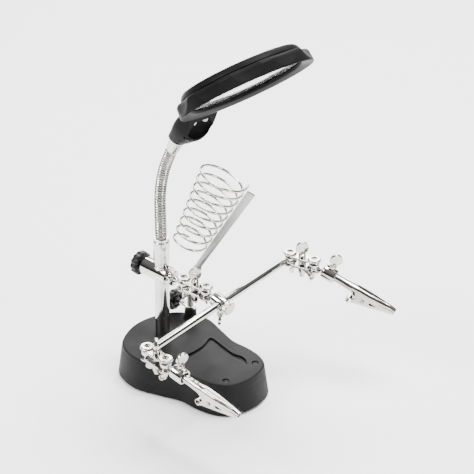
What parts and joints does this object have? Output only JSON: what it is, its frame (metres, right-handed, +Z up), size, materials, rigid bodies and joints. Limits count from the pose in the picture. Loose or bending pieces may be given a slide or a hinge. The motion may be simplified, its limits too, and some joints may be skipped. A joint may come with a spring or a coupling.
{
  "type": "helping hands clamp",
  "caption": "Weighted bench stand with ball-jointed crocodile clips on a cross rod, a lighted magnifier on a gooseneck and a coiled iron holder.",
  "frame": {"origin": "on the table, in the foot pad's underside, under the middle of the base's long axis", "axes": "+Z up; +X from the post towards the tray lobe that faces the user; +Y towards the iron holder"},
  "size_m": [0.1944, 0.2072, 0.3304],
  "materials": {
    "chrome": "polished chrome plate",
    "nickel": "bright nickel plate",
    "steel": "satin steel",
    "ballast_iron": "rough casting",
    "black_satin_plastic": "fine satin moulded",
    "black_gloss_plastic": "glossy moulded",
    "rubber_pad": "matt foam rubber",
    "lens_glass": "polished optical glass",
    "led_lens": "clear white LED dome",
    "cell_wrap": "printed sleeve, plain"
  },
  "bodies": {
    "base": {"base_shell": "black_satin_plastic", "base_plate": "black_satin_plastic", "ballast_weight": "ballast_iron", "foot_pad": "rubber_pad", "battery_cell_1": "cell_wrap", "battery_cell_2": "cell_wrap", "base_screw_1": "steel", "base_screw_2": "steel", "post": "chrome"},
    "battery_door": {"battery_door": "black_satin_plastic"},
    "collar": {"collar_clamp": "chrome"},
    "collar_knob": {"collar_knob": "black_satin_plastic"},
    "collar_ball": {"collar_ball": "chrome"},
    "centre_clamp": {"centre_upper_plate": "nickel", "centre_lower_plate": "nickel", "centre_bolt": "nickel"},
    "centre_wing_nut": {"centre_wing_nut": "nickel"},
    "sleeve_ball": {"sleeve_ball": "chrome"},
    "sleeve": {"rod_sleeve": "chrome"},
    "sleeve_knob": {"sleeve_knob": "nickel"},
    "sleeve_screw": {"sleeve_screw": "nickel"},
    "rod": {"cross_rod": "chrome"},
    "left_rod_ball": {"left_rod_ball": "chrome"},
    "left_clamp": {"left_upper_plate": "nickel", "left_lower_plate": "nickel", "left_bolt": "nickel"},
    "left_wing_nut": {"left_wing_nut": "nickel"},
    "left_socket_ball": {"left_socket_ball": "chrome"},
    "left_socket": {"left_clip_socket": "chrome"},
    "left_socket_screw": {"left_socket_screw": "nickel"},
    "left_clip": {"left_clip_upper_jaw": "nickel", "left_clip_spring_pin": "steel"},
    "left_jaw": {"left_clip_lower_jaw": "nickel"},
    "right_rod_ball": {"right_rod_ball": "chrome"},
    "right_clamp": {"right_upper_plate": "nickel", "right_lower_plate": "nickel", "right_bolt": "nickel"},
    "right_wing_nut": {"right_wing_nut": "nickel"},
    "right_socket_ball": {"right_socket_ball": "chrome"},
    "right_socket": {"right_clip_socket": "chrome"},
    "right_socket_screw": {"right_socket_screw": "nickel"},
    "right_clip": {"right_clip_upper_jaw": "nickel", "right_clip_spring_pin": "steel"},
    "right_jaw": {"right_clip_lower_jaw": "nickel"},
    "neck_lower": {"neck_lower_ferrule": "chrome", "neck_hose_lower": "steel"},
    "neck_upper": {"neck_hose_upper": "steel"},
    "head": {"neck_upper_ferrule": "chrome", "lens_ring": "black_gloss_plastic", "lens_retaining_ring": "black_gloss_plastic", "magnifier_lens": "lens_glass", "light_housing": "black_gloss_plastic", "led_1": "led_lens", "led_2": "led_lens"},
    "light_switch": {"light_switch": "black_satin_plastic"},
    "holder": {"holder_bar": "steel", "holder_spring": "chrome"},
    "boss_knob": {"boss_knob": "black_satin_plastic"}
  },
  "joints": [
    {"name": "battery_door_hinge", "type": "hinge", "parent": "base", "child": "battery_door", "pos_m": [0.0063, 0, 0.0015], "axis": [0, 1, 0], "range_deg": [0, 80]},
    {"name": "collar_turn", "type": "hinge", "parent": "base", "child": "collar", "pos_m": [-0.037, 0, 0.088], "axis": [0, 0, 1], "range_deg": [-40, 40]},
    {"name": "collar_knob_turn", "type": "hinge", "parent": "collar", "child": "collar_knob", "pos_m": [-0.037, 0, 0.088], "axis": [1, 0, 0], "continuous": true},
    {"name": "collar_ball_roll", "type": "hinge", "parent": "collar", "child": "collar_ball", "pos_m": [-0.012, 0, 0.088], "axis": [-1, 0, 0], "range_deg": [-20, 20]},
    {"name": "centre_clamp_swing", "type": "hinge", "parent": "collar_ball", "child": "centre_clamp", "pos_m": [-0.012, 0, 0.088], "axis": [0, 0, 1], "range_deg": [-35, 35]},
    {"name": "centre_wing_nut_turn", "type": "hinge", "parent": "centre_clamp", "child": "centre_wing_nut", "pos_m": [-0.00054, 0.001, 0.088], "axis": [0, 0, 1], "continuous": true},
    {"name": "sleeve_ball_swing", "type": "hinge", "parent": "centre_clamp", "child": "sleeve_ball", "pos_m": [0.01091, 0.002, 0.088], "axis": [0, 0, 1], "range_deg": [-40, 40]},
    {"name": "sleeve_roll", "type": "hinge", "parent": "sleeve_ball", "child": "sleeve", "pos_m": [0.01091, 0.002, 0.088], "axis": [0.9781, 0, -0.2079], "range_deg": [-20, 20]},
    {"name": "sleeve_knob_turn", "type": "hinge", "parent": "sleeve", "child": "sleeve_knob", "pos_m": [0.02803, 0.002, 0.08436], "axis": [0.9781, 0, -0.2079], "continuous": true},
    {"name": "sleeve_screw_turn", "type": "hinge", "parent": "sleeve", "child": "sleeve_screw", "pos_m": [0.02803, 0.002, 0.08436], "axis": [0.2071, -0.0906, 0.9741], "continuous": true},
    {"name": "rod_slide", "type": "slide", "parent": "sleeve", "child": "rod", "axis": [0.0188, 0.9959, 0.0887], "range_m": [-0.045, 0.045]},
    {"name": "left_rod_ball_roll", "type": "hinge", "parent": "rod", "child": "left_rod_ball", "pos_m": [0.02642, -0.08314, 0.07678], "axis": [0.0188, 0.9959, 0.0887], "range_deg": [-30, 30]},
    {"name": "left_clamp_swing", "type": "hinge", "parent": "left_rod_ball", "child": "left_clamp", "pos_m": [0.02642, -0.08314, 0.07678], "axis": [0, 0, 1], "range_deg": [-40, 40]},
    {"name": "left_wing_nut_turn", "type": "hinge", "parent": "left_clamp", "child": "left_wing_nut", "pos_m": [0.03781, -0.08474, 0.07678], "axis": [0, 0, 1], "continuous": true},
    {"name": "left_socket_swing", "type": "hinge", "parent": "left_clamp", "child": "left_socket_ball", "pos_m": [0.0492, -0.08635, 0.07678], "axis": [0, 0, 1], "range_deg": [-45, 45]},
    {"name": "left_socket_roll", "type": "hinge", "parent": "left_socket_ball", "child": "left_socket", "pos_m": [0.0492, -0.08635, 0.07678], "axis": [0.9796, 0.0257, -0.1994], "range_deg": [-30, 30]},
    {"name": "left_socket_screw_turn", "type": "hinge", "parent": "left_socket", "child": "left_socket_screw", "pos_m": [0.0635, -0.08597, 0.07387], "axis": [0.1993, 0.0052, 0.9799], "continuous": true},
    {"name": "left_clip_turn", "type": "hinge", "parent": "left_socket", "child": "left_clip", "pos_m": [0.0492, -0.08635, 0.07678], "axis": [0.9796, 0.0257, -0.1994], "continuous": true},
    {"name": "left_jaw_open", "type": "hinge", "parent": "left_clip", "child": "left_jaw", "pos_m": [0.09683, -0.0851, 0.06219], "axis": [-0.0262, 0.9997, 0], "range_deg": [0, 18], "stiffness_Nm_per_rad": 0.05, "springref_deg": -20.05},
    {"name": "right_rod_ball_roll", "type": "hinge", "parent": "rod", "child": "right_rod_ball", "pos_m": [0.02959, 0.08466, 0.09172], "axis": [0.0188, 0.9959, 0.0887], "range_deg": [-30, 30]},
    {"name": "right_clamp_swing", "type": "hinge", "parent": "right_rod_ball", "child": "right_clamp", "pos_m": [0.02959, 0.08466, 0.09172], "axis": [0, 0, 1], "range_deg": [-40, 40]},
    {"name": "right_wing_nut_turn", "type": "hinge", "parent": "right_clamp", "child": "right_wing_nut", "pos_m": [0.04088, 0.08686, 0.09172], "axis": [0, 0, 1], "continuous": true},
    {"name": "right_socket_swing", "type": "hinge", "parent": "right_clamp", "child": "right_socket_ball", "pos_m": [0.05217, 0.08905, 0.09172], "axis": [0, 0, 1], "range_deg": [-45, 45]},
    {"name": "right_socket_roll", "type": "hinge", "parent": "right_socket_ball", "child": "right_socket", "pos_m": [0.05217, 0.08905, 0.09172], "axis": [0.8767, 0.3019, -0.3746], "range_deg": [-30, 30]},
    {"name": "right_socket_screw_turn", "type": "hinge", "parent": "right_socket", "child": "right_socket_screw", "pos_m": [0.06497, 0.09346, 0.08625], "axis": [0.3542, 0.122, 0.9272], "continuous": true},
    {"name": "right_clip_turn", "type": "hinge", "parent": "right_socket", "child": "right_clip", "pos_m": [0.05217, 0.08905, 0.09172], "axis": [0.8767, 0.3019, -0.3746], "continuous": true},
    {"name": "right_jaw_open", "type": "hinge", "parent": "right_clip", "child": "right_jaw", "pos_m": [0.09395, 0.10344, 0.06869], "axis": [-0.3256, 0.9455, 0], "range_deg": [0, 18], "stiffness_Nm_per_rad": 0.05, "springref_deg": -20.05},
    {"name": "neck_swivel", "type": "hinge", "parent": "base", "child": "neck_lower", "pos_m": [-0.037, 0, 0.1], "axis": [0, 0, 1], "range_deg": [-90, 90]},
    {"name": "neck_bend", "type": "hinge", "parent": "neck_lower", "child": "neck_upper", "pos_m": [-0.0374, 0, 0.16], "axis": [0, 1, 0], "range_deg": [-35, 35]},
    {"name": "head_bend", "type": "hinge", "parent": "neck_upper", "child": "head", "pos_m": [-0.025, 0, 0.204], "axis": [0, 1, 0], "range_deg": [-35, 35]},
    {"name": "light_switch_slide", "type": "slide", "parent": "head", "child": "light_switch", "axis": [0.3904, 0.7944, -0.4653], "range_m": [-0.002, 0.002]},
    {"name": "holder_swivel", "type": "hinge", "parent": "base", "child": "holder", "pos_m": [-0.0375, 0.0344, 0.05], "axis": [0, 0, 1], "range_deg": [-45, 120]},
    {"name": "boss_knob_turn", "type": "hinge", "parent": "base", "child": "boss_knob", "pos_m": [-0.0375, 0.0344, 0.0389], "axis": [1, 0, 0], "continuous": true}
  ]
}
